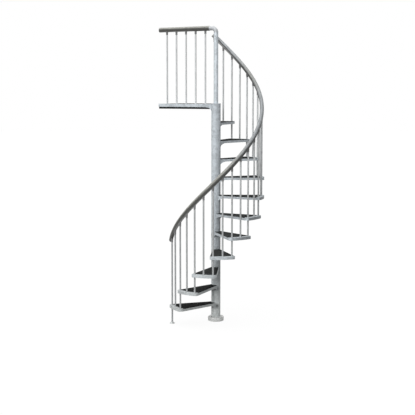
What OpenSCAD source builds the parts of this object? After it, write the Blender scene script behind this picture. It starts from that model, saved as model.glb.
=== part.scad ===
// Outdoor spiral staircase of galvanised steel with dark boards.
// Millimetres, Z up, the origin on the floor under the middle of the column.
// Angle 0 points right, 90 away from the viewer, and the stair climbs counter-clockwise.

/* [Stair] */
// Number of treads below the platform
tread_count = 11; // [6:1:14]
// Height of one rise
rise = 235; // [190:1:245]
// Height of the first tread's top above the floor
first_rise = 245; // [200:1:260]
// Angle from one tread to the next
pitch = 23.18; // [20:0.01:30]
// Angle of the first nosing baluster
start_angle = 196.5; // [0:0.1:360]
// Radius of the treads' outer edge
outer_radius = 625; // [500:1:900]

/* [Column] */
// Diameter of the column's tubes
column_diameter = 120; // [100:1:160]
// Wall of the column's tubes
column_wall = 5; // [3:0.5:10]
// Diameter of the pole inside the column and above it
pole_diameter = 56; // [40:1:70]
// Wall of the pole
pole_wall = 4; // [2:0.5:8]
// Hub above the tread's top
hub_above = 15; // [8:1:30]
// Hub below the gusset
hub_below_gusset = 14; // [8:1:40]
// Diameter of the cap on the column
cap_diameter = 126; // [104:1:180]
// Thickness of the cap
cap_thickness = 8; // [4:1:15]
// Chamfer at the joints of the column's tubes
joint_chamfer = 1.5; // [0.5:0.5:3]

/* [Base] */
// Diameter of the base plate
base_plate_diameter = 196; // [160:1:240]
// Thickness of the base plate
base_plate_thickness = 10; // [6:1:16]
// Diameter of the base cover
cover_diameter = 208; // [206:1:280]
// Height of the base cover
cover_height = 54; // [40:1:110]
// Wall of the base cover
cover_wall = 4; // [2:0.5:8]
// Radius of the cover's shoulder
cover_shoulder = 14; // [8:1:30]
// Diameter of the flared foot
foot_diameter = 70; // [45:1:90]
// Height of the flared foot
foot_height = 22; // [12:1:40]
// Height of the foot's rim
foot_rim = 3; // [1:0.5:6]

/* [Treads] */
// Distance from the line of a corner baluster to the tread's side
side_overlap = 42; // [30:1:60]
// Radius of the tread's outer corners
corner_radius = 44; // [20:1:60]
// Thickness of the frame's plates
plate = 4; // [3:0.5:6]
// Height of the outer band
band_height = 36; // [30:1:60]
// Lip's edge beyond the holes of the balusters
lip_margin = 4; // [2:1:30]
// Ledge under the board's outer end
ledge = 20; // [10:1:40]
// Side flange's top below the board's top
flange_drop = 6; // [2:1:12]
// Length of the gussets
gusset_length = 104; // [60:1:160]
// Depth of the gussets below the flange
gusset_depth = 54; // [15:1:80]
// Width of the cross bar under the board
bar_width = 40; // [20:1:60]
// Distance from the column's axis to the cross bar
bar_radius = 300; // [200:1:400]

/* [Railing] */
// Diameter of the balusters
baluster_diameter = 22; // [14:0.5:25]
// Distance from the tread's outer edge to the balusters
baluster_inset = 35; // [25:1:45]
// Diameter of the tips under the handrail
tip_diameter = 28; // [26:0.5:34]
// Length of the tips below the rail
tip_body = 36; // [28:1:60]
// Solid stretch of a tip between its bore and the rail
tip_wall = 3; // [2:0.5:8]
// Width of the handrails' oval section
rail_width = 50; // [40:1:56]
// Depth of the handrails' oval section
rail_depth = 62; // [40:1:80]
// Handrail's axis above the nosing
rail_height = 900; // [750:1:1000]
// Angle of the spiral rail before its first baluster
rail_overrun_start = 6.2; // [1.6:0.1:9]
// Angle of the spiral rail past its last baluster
rail_overrun_end = 1.6; // [1.6:0.1:9]
// Thickness of the rail's end caps
end_cap_thickness = 5; // [3:1:12]

/* [Platform] */
// Angle from the last nosing baluster to the platform's railing
platform_angle = 60; // [45:0.5:90]
// Length of the platform's railed side from the column's axis
platform_length = 843; // [600:1:1100]
// Height of the platform's band
platform_band = 40; // [34:1:60]
// Distance from the column's axis to the first railing baluster
platform_first = 155; // [120:1:220]
// Distance between the railing's balusters
platform_spacing = 143.5; // [90:0.5:150]
// Least distance from the last railing baluster to the platform's end
platform_last = 60; // [30:1:100]
// Platform handrail's axis above the platform
platform_rail_height = 965; // [850:1:1100]
// Radius of the elbow on the pole
elbow_radius = 56; // [45:1:90]
// Length of the elbow's straight end
elbow_straight = 36; // [15:1:60]
// Diameter of the elbow
elbow_diameter = 58; // [56:1:70]
// Length of the platform's gussets
platform_gusset_length = 112; // [60:1:160]
// Depth of the platform's gussets below its band
platform_gusset_depth = 52; // [15:1:80]
// Width of the bearers under the platform
bearer_width = 46; // [30:1:60]
// Bearer below the platform's band
bearer_drop = 25; // [10:1:40]
// Gap between the last nosing baluster and the bearer beside it
bearer_gap = 6; // [2:1:20]

/* [Fit] */
// Gap round parts that slide into each other
clearance = 0.4; // [0.2:0.1:0.8]

/* [Hidden] */
$fn = 48;
rail_sides = 20;
rail_ring_step = 4;
rail_lengths = 4;
corner_steps = 6;
edge_steps = 12;
half_pitch = pitch / 2;
baluster_radius = outer_radius - baluster_inset;
column_radius = column_diameter / 2;
hole_diameter = baluster_diameter + 2 * clearance;
lip_width = baluster_inset + hole_diameter / 2 + lip_margin;
lip_inner = outer_radius - lip_width;
board_thickness = band_height - plate;
flange_height = band_height - flange_drop;
hub_below = band_height + gusset_depth + hub_below_gusset;
platform_hub_below = platform_band + platform_gusset_depth + hub_below_gusset;
gusset_skin = plate / 8;
gusset_let_in = 1;
gusset_root = flange_drop + flange_height / 2;
platform_top = first_rise + tread_count * rise;
platform_nosing = start_angle + tread_count * pitch;
platform_front = platform_nosing + platform_angle;
platform_depth = baluster_radius * sin(platform_angle) + baluster_inset;
platform_rail_z = platform_top + platform_rail_height;
platform_gaps = floor((platform_length - platform_last - platform_first) / platform_spacing);
pole_top = platform_rail_z - elbow_radius;
rail_lead = rise / (pitch * PI / 180);
rail_slope = atan(rail_lead / baluster_radius);
rail_start = start_angle - rail_overrun_start;
rail_end = platform_nosing + rail_overrun_end;
rail_turn = (rail_end - rail_start) / rail_lengths;

// Names and places

function numbered(name, k) = str(name, k < 10 ? "_0" : "_", k);
function tread_top(k) = first_rise + (k - 1) * rise;
function tread_angle(k) = start_angle + (k - 0.5) * pitch;
function rail_z(angle) = first_rise + rail_height + (angle - start_angle) / pitch * rise;
function polar(r, a) = [r * cos(a), r * sin(a)];
function arc(centre, r, from, to, steps) =
    [for (i = [0 : steps]) centre + polar(r, from + (to - from) * i / steps)];
function mirrored(points) =
    [for (i = [len(points) - 1 : -1 : 0]) [points[i][0], -points[i][1]]];
// A point along a side line that stands off its baluster line by d
function along(side, s, d) = polar(s, side) + polar(d, side + 90);
// Depth of a tip below the axis of a rail at that slope, and of the bore in it
function tip_bottom(slope) = rail_depth / 2 / cos(slope) + tip_body;
function tip_bore(slope) = tip_body - tip_wall - hole_diameter / 2 * tan(slope);
// Oval section of the handrails, its width along X
function rail_section() =
    [for (j = [0 : rail_sides - 1])
        [rail_width / 2 * cos(360 * j / rail_sides), rail_depth / 2 * sin(360 * j / rail_sides)]];

// Plan of a tread about its middle line, drawn inwards by inset
function tread_plan(inset) =
    let (d = side_overlap - inset,
         f = corner_radius - inset,
         across = side_overlap - corner_radius,
         down = sqrt(pow(outer_radius - corner_radius, 2) - pow(across, 2)),
         centre = along(half_pitch, down, across),
         turn = atan2(centre[1], centre[0]),
         upper = concat([along(half_pitch, column_radius / 4, d)],
                        arc(centre, f, half_pitch + 90, turn, corner_steps)),
         edge = arc([0, 0], outer_radius - inset, turn, -turn, edge_steps))
    concat(upper, [for (i = [1 : edge_steps - 1]) edge[i]], mirrored(upper));

// Plan of the platform, turned so that its railing runs along X, drawn inwards by inset
function platform_plan(inset) =
    let (d = side_overlap - inset,
         back = platform_depth - inset,
         reach = (back - d * cos(platform_angle)) / sin(platform_angle),
         near = column_radius / 4)
    [along(-platform_angle, near, -d),
     along(-platform_angle, reach, -d),
     [platform_length - inset, -back],
     [platform_length - inset, baluster_inset - inset],
     [near, baluster_inset - inset]];

// Shared shapes

module ring(outer, inner, height) {
    difference() {
        cylinder(d = outer, h = height);
        translate([0, 0, -1])
            cylinder(d = inner, h = height + 2);
    }
}

module at_tread(k) {
    translate([0, 0, tread_top(k)])
        rotate(tread_angle(k))
            children();
}

// Concave gusset under the flange of the side at angle side, whose outer face is offset by d.
// It is let into the flange, which ends at bottom, and into the hub.
module gusset(side, d, bottom, length, depth) {
    start = column_radius / 4;
    end = sqrt(pow(column_radius, 2) - pow(d, 2)) + length;
    curve = [for (i = [0 : corner_steps])
        [end - length * sin(90 * i / corner_steps),
         gusset_let_in - bottom - (depth + gusset_let_in) * (1 - cos(90 * i / corner_steps))]];
    rotate(side)
        translate([0, d > 0 ? d - gusset_skin : d + plate - gusset_skin, 0])
            rotate([90, 0, 0])
                linear_extrude(height = plate - 2 * gusset_skin)
                    polygon(concat([[start, -gusset_root], [end, -gusset_root]], curve,
                                   [[start, -bottom - depth]]));
}

// Baluster positions on a tread, as angles from its middle line
module on_ring(angle) {
    rotate(angle)
        translate([baluster_radius, 0, 0])
            children();
}

// A turned tube with chamfered outer ends, its foot at the origin
module column_tube(height, bore) {
    edge = column_radius - joint_chamfer;
    rotate_extrude()
        polygon([[bore, 0], [edge, 0], [column_radius, joint_chamfer], [column_radius, height - joint_chamfer],
                 [edge, height], [bore, height]]);
}

module hub(below, above) {
    translate([0, 0, -below])
        column_tube(below + above, 0);
}

module hub_bore(below) {
    translate([0, 0, -below - 1])
        cylinder(d = column_diameter - 2 * column_wall, h = below + hub_above + 2);
}

// Base and column

module base_plate() {
    color("silver")
        cylinder(d = base_plate_diameter, h = base_plate_thickness);
}

module base_cover() {
    inner = cover_diameter / 2 - cover_wall;
    bore = column_radius + clearance;
    outer = cover_diameter / 2;
    shoulder = arc([outer - cover_shoulder, cover_height - cover_shoulder], cover_shoulder, 0, 90, edge_steps);
    color("gainsboro")
        rotate_extrude()
            polygon(concat([[inner, 0], [outer, 0]], shoulder,
                           [[bore, cover_height], [bore, cover_height - cover_wall],
                            [outer - cover_shoulder, cover_height - cover_wall],
                            [inner, cover_height - cover_shoulder]]));
}

module centre_pole() {
    color("silver")
        translate([0, 0, base_plate_thickness])
            ring(pole_diameter, pole_diameter - 2 * pole_wall, pole_top - base_plate_thickness);
}

module spacer_tubes() {
    color("silver")
        for (k = [1 : tread_count + 1]) {
            foot = k == 1 ? base_plate_thickness : tread_top(k - 1) + hub_above;
            top = tread_top(k) - (k > tread_count ? platform_hub_below : hub_below);
            translate([0, 0, foot])
                column_tube(top - foot, column_radius - column_wall);
        }
}

module column_cap() {
    color("silver")
        translate([0, 0, platform_top])
            ring(cap_diameter, pole_diameter + 2 * clearance, cap_thickness);
}

// Treads

// A slab of a tread's plan, from bottom up by height
module tread_slab(inset, bottom, height) {
    translate([0, 0, bottom])
        linear_extrude(height = height)
            polygon(tread_plan(inset));
}

module tread_band() {
    difference() {
        tread_slab(0, -band_height, band_height);
        tread_slab(plate, -band_height - 1, band_height + 2);
        translate([0, 0, -band_height - 1])
            cylinder(r = lip_inner, h = band_height + 2);
    }
}

module tread_flanges() {
    intersection() {
        difference() {
            tread_slab(0, -band_height, flange_height);
            tread_slab(plate, -band_height - 1, flange_height + 2);
        }
        translate([0, 0, -band_height - 1])
            cylinder(r = lip_inner + plate, h = flange_height + 2);
    }
}

// Lip inside the band from the radius inner outwards, with holes for the balusters at these angles
module tread_lip(inner, bottom, holes) {
    difference() {
        tread_slab(plate / 2, bottom, plate);
        translate([0, 0, bottom - 1])
            cylinder(r = inner, h = plate + 2);
        for (a = holes)
            on_ring(a)
                translate([0, 0, bottom - 1])
                    cylinder(d = hole_diameter, h = plate + 2);
    }
}

module cross_bar() {
    intersection() {
        tread_slab(plate / 2, -band_height, plate);
        translate([bar_radius - bar_width / 2, -outer_radius, -band_height - 1])
            cube([bar_width, 2 * outer_radius, plate + 2]);
    }
}

module tread_frame(k) {
    color("silver")
        at_tread(k)
            difference() {
                union() {
                    hub(hub_below, hub_above);
                    tread_band();
                    tread_flanges();
                    tread_lip(lip_inner, -plate, [-half_pitch, 0, half_pitch]);
                    tread_lip(lip_inner - ledge, -band_height, [-half_pitch]);
                    cross_bar();
                    gusset(half_pitch, side_overlap, band_height, gusset_length, gusset_depth);
                    gusset(-half_pitch, -side_overlap, band_height, gusset_length, gusset_depth);
                }
                hub_bore(hub_below);
            }
}

module tread_board(k) {
    color("dimgray")
        at_tread(k)
            intersection() {
                difference() {
                    tread_slab(plate + clearance, -board_thickness, board_thickness);
                    translate([0, 0, -board_thickness - 1])
                        cylinder(r = column_radius + clearance, h = board_thickness + 2);
                }
                translate([0, 0, -board_thickness - 1])
                    cylinder(r = lip_inner - clearance, h = board_thickness + 2);
            }
}

// Spiral railing

module spiral_baluster(angle, foot) {
    top = rail_z(angle) - tip_bottom(rail_slope) + tip_bore(rail_slope);
    rotate(angle)
        translate([baluster_radius, 0, foot])
            cylinder(d = baluster_diameter, h = top - foot);
}

module nosing_balusters() {
    color("silver")
        for (k = [1 : tread_count + 1])
            spiral_baluster(start_angle + (k - 1) * pitch, k == 1 ? 0 : tread_top(k - 1) - board_thickness);
}

module middle_balusters() {
    color("silver")
        for (k = [1 : tread_count])
            spiral_baluster(tread_angle(k), tread_top(k) - board_thickness);
}

module baluster_foot() {
    neck = tip_diameter / 2;
    flare = foot_diameter / 2 - neck;
    curve = [for (i = [0 : corner_steps])
        [foot_diameter / 2 - flare * sin(90 * i / corner_steps),
         foot_height - (foot_height - foot_rim) * cos(90 * i / corner_steps)]];
    color("silver")
        rotate(start_angle)
            translate([baluster_radius, 0, 0])
                rotate_extrude()
                    polygon(concat([[hole_diameter / 2, 0], [foot_diameter / 2, 0]], curve,
                                   [[hole_diameter / 2, foot_height]]));
}

// A tip stands under a rail whose axis is at the origin and runs along Y, tilted up by slope
module tip(slope) {
    difference() {
        translate([0, 0, -tip_bottom(slope)])
            cylinder(d = tip_diameter, h = tip_bottom(slope));
        translate([0, 0, -tip_bottom(slope) - 1])
            cylinder(d = hole_diameter, h = tip_bore(slope) + 1);
        rotate([90 + slope, 0, 0])
            linear_extrude(height = 4 * tip_bottom(slope), center = true)
                polygon(rail_section());
    }
}

module baluster_tips() {
    color("dimgray")
        for (i = [0 : 2 * tread_count]) {
            angle = start_angle + i * half_pitch;
            rotate(angle)
                translate([baluster_radius, 0, rail_z(angle)])
                    tip(rail_slope);
        }
}

// One length of the spiral rail: rings square to the helix, joined by quads
module rail_length(from, to) {
    rings = ceil((to - from) / rail_ring_step);
    section = rail_section();
    points = [for (i = [0 : rings], j = [0 : rail_sides - 1])
        let (angle = from + (to - from) * i / rings,
             lift = section[j][1],
             r = baluster_radius + section[j][0],
             back = -lift * sin(rail_slope))
        [r * cos(angle) - back * sin(angle), r * sin(angle) + back * cos(angle),
         rail_z(angle) + lift * cos(rail_slope)]];
    sides = [for (i = [0 : rings - 1], j = [0 : rail_sides - 1])
        let (next = (j + 1) % rail_sides)
        [i * rail_sides + j, (i + 1) * rail_sides + j, (i + 1) * rail_sides + next, i * rail_sides + next]];
    first = [for (j = [0 : rail_sides - 1]) j];
    last = [for (j = [rail_sides - 1 : -1 : 0]) rings * rail_sides + j];
    polyhedron(points, concat(sides, [first, last]));
}

module spiral_handrail(k) {
    color("gray")
        rail_length(rail_start + (k - 1) * rail_turn, rail_start + k * rail_turn);
}

module rail_cap_at(angle, forwards) {
    rotate(angle)
        translate([baluster_radius, 0, rail_z(angle)])
            rotate([forwards ? rail_slope - 90 : rail_slope + 90, 0, 0])
                linear_extrude(height = end_cap_thickness)
                    polygon(rail_section());
}

module spiral_rail_caps() {
    color("dimgray") {
        rail_cap_at(rail_start, false);
        rail_cap_at(rail_end, true);
    }
}

// Platform

// A slab of the platform's plan, from bottom up by height
module platform_slab(inset, bottom, height) {
    translate([0, 0, bottom])
        linear_extrude(height = height)
            polygon(platform_plan(inset));
}

module at_platform() {
    translate([0, 0, platform_top])
        rotate(platform_front)
            children();
}

module on_platform_rail() {
    for (i = [0 : platform_gaps])
        translate([platform_first + i * platform_spacing, 0, 0])
            children();
}

module last_nosing_baluster() {
    rotate(-platform_angle)
        translate([baluster_radius, 0, 0])
            children();
}

// Lip along the railed side, with holes for its balusters
module platform_lip() {
    inner = baluster_inset - lip_width;
    difference() {
        translate([column_radius / 4, inner, -plate])
            cube([platform_length - plate / 2 - column_radius / 4, lip_width - plate / 2, plate]);
        on_platform_rail()
            translate([0, 0, -plate - 1])
                cylinder(d = hole_diameter, h = plate + 2);
    }
}

module platform_frame() {
    color("silver")
        at_platform()
            difference() {
                union() {
                    hub(platform_hub_below, 0);
                    difference() {
                        platform_slab(0, -platform_band, platform_band);
                        platform_slab(plate, -platform_band - 1, platform_band + 2);
                    }
                    platform_lip();
                    gusset(0, baluster_inset, platform_band, platform_gusset_length, platform_gusset_depth);
                    gusset(-platform_angle, -side_overlap, platform_band, platform_gusset_length,
                           platform_gusset_depth);
                }
                hub_bore(platform_hub_below);
            }
}

module platform_board() {
    color("dimgray")
        at_platform()
            difference() {
                platform_slab(plate + clearance, -board_thickness, board_thickness);
                translate([0, 0, -board_thickness - 1])
                    cylinder(r = column_radius + clearance, h = board_thickness + 2);
                translate([-platform_length, baluster_inset - lip_width - clearance, -board_thickness - 1])
                    cube([2 * platform_length, 2 * lip_width, board_thickness + 2]);
                last_nosing_baluster()
                    translate([0, 0, -board_thickness - 1])
                        cylinder(d = hole_diameter, h = board_thickness + 2);
            }
}

// Bearers along the railed side and along the side across from it, under the board
module platform_bearers() {
    height = platform_band + bearer_drop - board_thickness;
    skin = plate + clearance;
    behind = baluster_radius * cos(platform_angle) + hole_diameter / 2 + bearer_gap;
    bottom = -board_thickness - height;
    color("dimgray")
        at_platform() {
            translate([column_radius + clearance, baluster_inset - skin - bearer_width, bottom])
                cube([platform_length - skin - column_radius - clearance, bearer_width, height]);
            translate([behind, skin - platform_depth, bottom])
                cube([platform_length - skin - behind, bearer_width, height]);
        }
}

module platform_balusters() {
    color("silver")
        at_platform()
            on_platform_rail()
                translate([0, 0, -board_thickness])
                    cylinder(d = baluster_diameter,
                             h = board_thickness + platform_rail_height - tip_bottom(0) + tip_bore(0));
}

module platform_baluster_tips() {
    color("dimgray")
        at_platform()
            translate([0, 0, platform_rail_height])
                on_platform_rail()
                    rotate(-90)
                        tip(0);
}

module platform_handrail() {
    start = elbow_radius + elbow_straight;
    color("gray")
        at_platform()
            translate([start, 0, platform_rail_height])
                rotate([90, 0, 90])
                    linear_extrude(height = platform_length - end_cap_thickness - start)
                        polygon(rail_section());
}

module platform_rail_cap() {
    color("dimgray")
        at_platform()
            translate([platform_length - end_cap_thickness, 0, platform_rail_height])
                rotate([90, 0, 90])
                    linear_extrude(height = end_cap_thickness)
                        polygon(rail_section());
}

module rail_elbow() {
    color("lightgray")
        rotate(platform_front)
            translate([elbow_radius, 0, pole_top]) {
                rotate([90, 0, 0])
                    rotate([0, 0, 90])
                        rotate_extrude(angle = 90)
                            translate([elbow_radius, 0])
                                circle(d = elbow_diameter);
                translate([0, 0, elbow_radius])
                    rotate([0, 90, 0])
                        cylinder(d = elbow_diameter, h = elbow_straight);
            }
}

base_plate();
base_cover();
baluster_foot();
centre_pole();
spacer_tubes();
column_cap();
for (k = [1 : tread_count]) {
    tread_frame(k);
    tread_board(k);
}
nosing_balusters();
middle_balusters();
baluster_tips();
for (k = [1 : rail_lengths])
    spiral_handrail(k);
spiral_rail_caps();
platform_frame();
platform_board();
platform_bearers();
platform_balusters();
platform_baluster_tips();
platform_handrail();
platform_rail_cap();
rail_elbow();
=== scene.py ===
"""Outdoor spiral staircase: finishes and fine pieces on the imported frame, laid out as an add-on."""
import math

import bpy
import numpy as np
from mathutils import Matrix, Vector


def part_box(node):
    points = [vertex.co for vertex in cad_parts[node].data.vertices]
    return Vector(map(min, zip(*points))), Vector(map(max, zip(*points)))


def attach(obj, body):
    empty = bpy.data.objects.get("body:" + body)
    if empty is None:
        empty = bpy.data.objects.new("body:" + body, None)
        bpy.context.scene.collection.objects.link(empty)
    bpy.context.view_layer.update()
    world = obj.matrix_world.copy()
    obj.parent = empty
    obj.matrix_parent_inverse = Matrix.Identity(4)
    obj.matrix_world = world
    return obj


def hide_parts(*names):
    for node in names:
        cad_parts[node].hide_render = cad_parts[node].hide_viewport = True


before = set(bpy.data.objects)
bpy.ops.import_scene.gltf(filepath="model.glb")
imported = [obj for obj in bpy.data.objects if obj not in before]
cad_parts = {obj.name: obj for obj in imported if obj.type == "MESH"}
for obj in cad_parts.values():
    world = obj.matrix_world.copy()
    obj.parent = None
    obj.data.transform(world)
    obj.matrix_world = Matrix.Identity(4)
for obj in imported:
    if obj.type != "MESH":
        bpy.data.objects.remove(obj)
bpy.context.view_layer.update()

bl_info = {
    "name": "Spiral Staircase",
    "version": (1, 0, 0),
    "blender": (4, 5, 0),
    "location": "View3D > Sidebar > Staircase",
    "description": "Dresses the frame of an outdoor spiral staircase",
    "category": "Object",
}

# What the frame gives


def nodes_named(start):
    """The frame's nodes whose names begin that way, in order."""
    return sorted(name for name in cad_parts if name.startswith(start))


BOARD_NODES = nodes_named("tread_board_")
FRAME_NODES = nodes_named("tread_frame_")
RAIL_NODES = nodes_named("spiral_handrail_")
TREADS = len(BOARD_NODES)


def tread_top(k):
    """Height of the board's top on tread k, counted from 1."""
    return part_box(BOARD_NODES[k - 1])[1].z


FIRST_TOP = tread_top(1)
RISE = tread_top(2) - FIRST_TOP
BOARD_THICKNESS = FIRST_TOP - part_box(BOARD_NODES[0])[0].z
COLUMN_RADIUS = (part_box("spacer_tubes")[1].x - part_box("spacer_tubes")[0].x) / 2
PLATFORM_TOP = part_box("platform_board")[1].z
PLATFORM_RAIL_LOW, PLATFORM_RAIL_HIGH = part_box("platform_handrail")
PLATFORM_RAIL_LEVEL = (PLATFORM_RAIL_LOW.z + PLATFORM_RAIL_HIGH.z) / 2

# Counts and steps of the fine surfaces

RAIL_RINGS = 200
OVAL_SIDES = 40
CAP_EDGE_STEPS = 6
TIP_SIDES = 24
FOOT_SIDES = 48
COVER_SIDES = 96
BOW_STEPS = 14
BEND_STEPS = 24
ELBOW_STRAIGHT = np.array([0.4, 0.75, 0.8, 0.97, 1.0])
WELD_STEPS, WELD_SIDES = 40, 10
SAME_PLACE_DIGITS, NOTHING_DIGITS = 6, 9
PLATFORM_BALUSTERS = 5

# Fine sizes, in metres

CAP_THICKNESS = 0.005
CAP_RIM = 0.003
CAP_ROUNDING = 0.0015
CAP_CROWN = 0.0003
TIP_FLARE, TIP_FLARE_WIDTH = 0.003, 0.0008
TIP_CHAMFER = 0.0012
TIP_COLLAR = 0.009
TIP_NECK_LOW, TIP_NECK_HIGH = 0.0104, 0.02
TIP_SHOULDER = 0.024
COVER_SHOULDER = 0.014
COVER_CHAMFER = 0.002
COVER_LIP, COVER_LIP_DROP = 0.004, 0.0015
COVER_GAP = 0.0006
FOOT_CHAMFER = 0.001
FOOT_RIM = 0.0022
FOOT_PLATE = 0.0033
FOOT_COLLAR = 0.0005
ELBOW_RIM, ELBOW_CHAMFER = 0.0008, 0.001
WELD_FOOT = 0.016
PLATFORM_FLANGE_DROP = 0.002
BOARD_SIDE_RIM = np.array([0.0, 0.0004, 0.0015, 0.004])
SHORTEST_LINE = 1e-6

# Shares of other sizes

CAP_TAPER = 0.06
TIP_SUNK = 0.4
WELD_RIPPLE = 0.16
BOARD_RIM = np.array([0.0, 0.06, 0.22, 0.5, 1.0, 1.6])
BOARD_RIM_MOST = 0.45
BOARD_MIDDLE = np.array([0.33, 0.67])
GROOVE_PLACES = np.array([-0.5, -0.3, 0.0, 0.3, 0.5])
GROOVE_SHARES = np.array([0.0, 0.9, 1.0, 0.9, 0.0])
GROOVE_START = 0.6

# Turns: the caps' rounded edge in degrees, a weld bead's ripples in radians

CAP_EDGE_TURN = 80.0
WELD_RIPPLE_TURN = 60.0


# Properties

class StairSizes(bpy.types.PropertyGroup):
    """Sizes that the frame's boxes don't give by themselves."""
    pitch: bpy.props.FloatProperty(
        name="Pitch", description="Angle from one tread to the next",
        default=math.radians(23.18), subtype="ANGLE")
    start_angle: bpy.props.FloatProperty(
        name="Start", description="Angle of the first baluster",
        default=math.radians(196.5), subtype="ANGLE")
    platform_angle: bpy.props.FloatProperty(
        name="Platform", description="Angle from the last nosing to the platform's railing",
        default=math.radians(60), subtype="ANGLE")
    ring_radius: bpy.props.FloatProperty(
        name="Ring radius", description="From the column's axis to the balusters",
        default=0.590, subtype="DISTANCE")
    lip_radius: bpy.props.FloatProperty(
        name="Lip radius", description="From the column's axis to the lip's inner edge",
        default=0.5746, subtype="DISTANCE")
    side_overlap: bpy.props.FloatProperty(
        name="Side overlap", description="From a corner baluster's line to the tread's side",
        default=0.042, subtype="DISTANCE")
    front_overlap: bpy.props.FloatProperty(
        name="Front overlap", description="From the platform's balusters to its railed side",
        default=0.035, subtype="DISTANCE")
    lip_width: bpy.props.FloatProperty(
        name="Lip", description="Width of the lip under the balusters",
        default=0.0504, subtype="DISTANCE")
    plate: bpy.props.FloatProperty(
        name="Plate", description="Thickness of the frame's plates",
        default=0.004, subtype="DISTANCE")
    clearance: bpy.props.FloatProperty(
        name="Clearance", description="Gap round the boards",
        default=0.0004, subtype="DISTANCE")
    flange_drop: bpy.props.FloatProperty(
        name="Flange drop", description="Side flange's top below the board's top",
        default=0.006, subtype="DISTANCE")
    rail_height: bpy.props.FloatProperty(
        name="Rail height", description="Spiral rail's axis above the nosing",
        default=0.900, subtype="DISTANCE")
    rail_width: bpy.props.FloatProperty(
        name="Rail width", description="Width of the handrails' oval section",
        default=0.050, subtype="DISTANCE")
    rail_depth: bpy.props.FloatProperty(
        name="Rail depth", description="Depth of the handrails' oval section",
        default=0.062, subtype="DISTANCE")
    rail_before: bpy.props.FloatProperty(
        name="Rail start", description="Angle of the rail before its first baluster",
        default=math.radians(6.2), subtype="ANGLE")
    rail_after: bpy.props.FloatProperty(
        name="Rail end", description="Angle of the rail past its last baluster",
        default=math.radians(1.6), subtype="ANGLE")
    tip_body: bpy.props.FloatProperty(
        name="Tip", description="Length of a tip below the rail",
        default=0.036, subtype="DISTANCE")
    tip_diameter: bpy.props.FloatProperty(
        name="Tip diameter", description="Diameter of a tip",
        default=0.028, subtype="DISTANCE")
    baluster_diameter: bpy.props.FloatProperty(
        name="Baluster", description="Diameter of the balusters",
        default=0.022, subtype="DISTANCE")
    elbow_radius: bpy.props.FloatProperty(
        name="Elbow", description="Radius of the elbow's bend",
        default=0.056, subtype="DISTANCE")
    weld: bpy.props.FloatProperty(
        name="Weld", description="Radius of the weld beads at the hubs",
        default=0.0028, subtype="DISTANCE")
    edge: bpy.props.FloatProperty(
        name="Edge", description="Rounding of the boards' edges",
        default=0.003, subtype="DISTANCE")
    groove_pitch: bpy.props.FloatProperty(
        name="Groove pitch", description="Distance between the boards' grooves",
        default=0.012, subtype="DISTANCE")
    groove_width: bpy.props.FloatProperty(
        name="Groove width", description="Width of the boards' grooves",
        default=0.004, subtype="DISTANCE")
    groove_depth: bpy.props.FloatProperty(
        name="Groove depth", description="Depth of the boards' grooves",
        default=0.0012, subtype="DISTANCE")


class StairFinish(bpy.types.PropertyGroup):
    """Colours of the staircase's finishes, in linear light."""
    zinc: bpy.props.FloatVectorProperty(
        name="Zinc", description="Galvanised steel",
        default=(0.43, 0.467, 0.495), subtype="COLOR", size=3)
    # Painted floor bounce: the zinc's greyer colour near the floor
    zinc_low: bpy.props.FloatVectorProperty(
        name="Low zinc", description="Galvanised steel near the floor",
        default=(0.405, 0.424, 0.42), subtype="COLOR", size=3)
    tube: bpy.props.FloatVectorProperty(
        name="Balusters", description="Galvanised tube",
        default=(0.396, 0.407, 0.411), subtype="COLOR", size=3)
    board: bpy.props.FloatVectorProperty(
        name="Boards", description="Dark moulded boards",
        default=(0.007, 0.0075, 0.0075), subtype="COLOR", size=3)
    rail: bpy.props.FloatVectorProperty(
        name="Handrail", description="Plastic handrail",
        default=(0.0702, 0.0702, 0.0645), subtype="COLOR", size=3)
    rail_cool: bpy.props.FloatVectorProperty(
        name="Cool handrail", description="Plastic handrail on its far turn",
        default=(0.0652, 0.0685, 0.071), subtype="COLOR", size=3)
    # Pale colour given to the rail's underside band and to its last two centimetres
    strip: bpy.props.FloatVectorProperty(
        name="Strip", description="Strip under the handrail",
        default=(0.36, 0.36, 0.355), subtype="COLOR", size=3)
    cap: bpy.props.FloatVectorProperty(
        name="Caps", description="End caps of the handrails",
        default=(0.30, 0.31, 0.32), subtype="COLOR", size=3)
    fitting: bpy.props.FloatVectorProperty(
        name="Fittings", description="Dark tips under the rails",
        default=(0.15, 0.15, 0.152), subtype="COLOR", size=3)
    cover: bpy.props.FloatVectorProperty(
        name="Cover", description="Base cover",
        default=(0.56, 0.57, 0.56), subtype="COLOR", size=3)
    elbow: bpy.props.FloatVectorProperty(
        name="Elbow", description="Elbow on the pole",
        default=(0.37, 0.385, 0.40), subtype="COLOR", size=3)


# Shader expressions

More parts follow.
